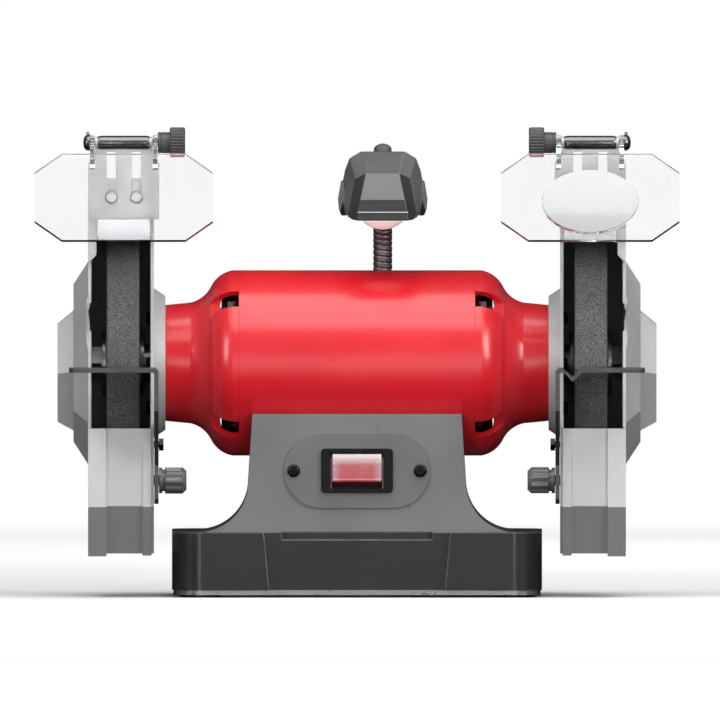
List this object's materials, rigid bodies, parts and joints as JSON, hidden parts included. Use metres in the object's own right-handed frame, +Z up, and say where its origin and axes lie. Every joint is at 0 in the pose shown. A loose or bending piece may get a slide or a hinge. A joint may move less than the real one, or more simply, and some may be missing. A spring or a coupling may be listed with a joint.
{
  "type": "bench grinder",
  "caption": "Double-ended bench grinder with guarded wheels, adjustable tool rests, tilting clear eye shields, a magnifier lens and a gooseneck lamp on a flared base.",
  "frame": {"origin": "on the bench surface, in the middle of the bench bolt holes", "axes": "+X along the shaft towards the right wheel, -Y towards the person at the front, +Z up"},
  "size_m": [0.3758, 0.2046, 0.2738],
  "materials": {
    "base_paint": "satin",
    "cover_steel": "satin",
    "foot_rubber": "matte",
    "zinc_steel": "satin",
    "plate_plastic": "satin",
    "black_plastic": "gloss",
    "rocker_red": "gloss",
    "capacitor_can": "satin",
    "terminal_plastic": "matte",
    "bushing_rubber": "matte",
    "motor_red": "gloss",
    "bell_red": "gloss",
    "lamination_steel": "matte",
    "copper_winding": "gloss",
    "shaft_steel": "satin",
    "fan_plastic": "matte",
    "bearing_steel": "polished",
    "spring_steel": "satin",
    "abrasive": "matte",
    "flange_steel": "satin",
    "blotter_paper": "matte",
    "guard_silver": "satin",
    "cover_silver": "satin",
    "rest_black": "satin",
    "knob_black": "satin",
    "arrestor_steel": "satin",
    "bracket_steel": "satin",
    "clear_shield": "gloss",
    "lens_clear": "gloss",
    "neck_steel": "satin",
    "hood_grey": "satin",
    "lamp_lens_clear": "gloss",
    "board_white": "satin",
    "button_grey": "satin"
  },
  "bodies": {
    "frame": {"base_casting": "base_paint", "bottom_cover": "cover_steel", "rubber_feet": "foot_rubber", "cradle_bolts": "zinc_steel", "switch_plate": "plate_plastic", "switch_housing": "black_plastic", "run_capacitor": "capacitor_can", "terminal_block": "terminal_plastic", "cord_inlet_bushing": "bushing_rubber", "motor_shell": "motor_red", "end_bell_left": "bell_red", "end_bell_right": "bell_red", "tie_bolts": "zinc_steel", "stator_core": "lamination_steel", "stator_windings": "copper_winding", "bearing_outer_rings": "bearing_steel", "preload_washer": "spring_steel", "inner_guard_left": "guard_silver", "inner_guard_right": "guard_silver", "outer_guard_left": "cover_silver", "outer_guard_right": "cover_silver", "guard_mount_screws": "zinc_steel", "pan_head_screws": "zinc_steel", "bracket_screws": "zinc_steel", "rest_clamp_bolts": "zinc_steel", "rest_guide_bolts": "zinc_steel", "neck_socket": "neck_steel"},
    "rotor": {"shaft": "shaft_steel", "rotor_core": "lamination_steel", "cooling_fan": "fan_plastic", "bearing_inner_rings": "bearing_steel", "bearing_balls": "bearing_steel", "grinding_wheels": "abrasive", "wheel_flanges": "flange_steel", "wheel_blotters": "blotter_paper", "wheel_nuts": "zinc_steel"},
    "rocker": {"switch_rocker": "rocker_red"},
    "neck_1": {"neck_segment_1": "neck_steel"},
    "neck_2": {"neck_segment_2": "neck_steel"},
    "neck_3": {"neck_segment_3": "neck_steel"},
    "neck_4": {"neck_elbow": "neck_steel"},
    "lamp_head": {"lamp_hood": "hood_grey", "lamp_lens": "lamp_lens_clear", "lamp_board": "board_white"},
    "lamp_switch": {"lamp_button": "button_grey"},
    "rest_left": {"tool_rest_left": "rest_black"},
    "rest_knob_left": {"rest_knob_left": "knob_black"},
    "arrestor_left": {"spark_arrestor_left": "arrestor_steel"},
    "bracket_left": {"shield_bracket_left": "bracket_steel"},
    "shield_left": {"eye_shield_left": "clear_shield", "shield_bolt_left": "zinc_steel"},
    "shield_knob_left": {"shield_knob_left": "knob_black"},
    "rest_right": {"tool_rest_right": "rest_black"},
    "rest_knob_right": {"rest_knob_right": "knob_black"},
    "arrestor_right": {"spark_arrestor_right": "arrestor_steel"},
    "bracket_right": {"shield_bracket_right": "bracket_steel"},
    "shield_right": {"eye_shield_right": "clear_shield", "shield_bolt_right": "zinc_steel", "magnifier_lens": "lens_clear"},
    "shield_knob_right": {"shield_knob_right": "knob_black"}
  },
  "joints": [
    {"name": "wheel_spin", "type": "hinge", "parent": "frame", "child": "rotor", "pos_m": [0, 0, 0.1355], "axis": [1, 0, 0], "continuous": true},
    {"name": "switch_rock", "type": "hinge", "parent": "frame", "child": "rocker", "pos_m": [0, -0.0551, 0.0737], "axis": [1, 0, 0], "range_deg": [0, 14]},
    {"name": "rest_slide_left", "type": "slide", "parent": "frame", "child": "rest_left", "axis": [0, -1, 0], "range_m": [-0.0015, 0.014]},
    {"name": "rest_knob_turn_left", "type": "hinge", "parent": "frame", "child": "rest_knob_left", "pos_m": [-0.107, -0.072, 0.0683], "axis": [1, 0, 0], "range_deg": [0, 270]},
    {"name": "arrestor_slide_left", "type": "slide", "parent": "frame", "child": "arrestor_left", "axis": [0, 0, -1], "range_m": [0, 0.008]},
    {"name": "bracket_slide_left", "type": "slide", "parent": "frame", "child": "bracket_left", "axis": [0, 0, -1], "range_m": [0, 0.015]},
    {"name": "shield_tilt_left", "type": "hinge", "parent": "bracket_left", "child": "shield_left", "pos_m": [-0.1359, -0.05465, 0.2648], "axis": [-1, 0, 0], "range_deg": [-4, 95]},
    {"name": "shield_knob_turn_left", "type": "hinge", "parent": "shield_left", "child": "shield_knob_left", "pos_m": [-0.108, -0.05465, 0.2648], "axis": [1, 0, 0], "range_deg": [0, 270]},
    {"name": "rest_slide_right", "type": "slide", "parent": "frame", "child": "rest_right", "axis": [0, -1, 0], "range_m": [-0.0015, 0.014]},
    {"name": "rest_knob_turn_right", "type": "hinge", "parent": "frame", "child": "rest_knob_right", "pos_m": [0.107, -0.072, 0.0683], "axis": [-1, 0, 0], "range_deg": [0, 270]},
    {"name": "arrestor_slide_right", "type": "slide", "parent": "frame", "child": "arrestor_right", "axis": [0, 0, -1], "range_m": [0, 0.008]},
    {"name": "bracket_slide_right", "type": "slide", "parent": "frame", "child": "bracket_right", "axis": [0, 0, -1], "range_m": [0, 0.015]},
    {"name": "shield_tilt_right", "type": "hinge", "parent": "bracket_right", "child": "shield_right", "pos_m": [0.1359, -0.05465, 0.2648], "axis": [-1, 0, 0], "range_deg": [-4, 95]},
    {"name": "shield_knob_turn_right", "type": "hinge", "parent": "shield_right", "child": "shield_knob_right", "pos_m": [0.108, -0.05465, 0.2648], "axis": [-1, 0, 0], "range_deg": [0, 270]},
    {"name": "neck_bend_1", "type": "hinge", "parent": "frame", "child": "neck_1", "pos_m": [0.015, 0.066, 0.07], "axis": [1, 0, 0], "range_deg": [-10, 2]},
    {"name": "neck_side_2", "type": "hinge", "parent": "neck_1", "child": "neck_2", "pos_m": [0.015, 0.066, 0.108], "axis": [0, 1, 0], "range_deg": [-8, 8]},
    {"name": "neck_bend_3", "type": "hinge", "parent": "neck_2", "child": "neck_3", "pos_m": [0.015, 0.066, 0.146], "axis": [1, 0, 0], "range_deg": [-20, 4]},
    {"name": "neck_side_4", "type": "hinge", "parent": "neck_3", "child": "neck_4", "pos_m": [0.015, 0.066, 0.184], "axis": [0, 1, 0], "range_deg": [-8, 8]},
    {"name": "lamp_head_tilt", "type": "hinge", "parent": "neck_4", "child": "lamp_head", "pos_m": [0.015, 0.031, 0.2315], "axis": [1, 0, 0], "range_deg": [-20, 12]},
    {"name": "lamp_button_press", "type": "slide", "parent": "lamp_head", "child": "lamp_switch", "axis": [0, 0, -1], "range_m": [0, 0.0015], "stiffness_N_per_m": 300}
  ],
  "couplings": [
    {"joint": "neck_bend_1", "follows": "neck_bend_3", "ratio": 0.5},
    {"joint": "neck_side_2", "follows": "neck_side_4", "ratio": 1}
  ]
}
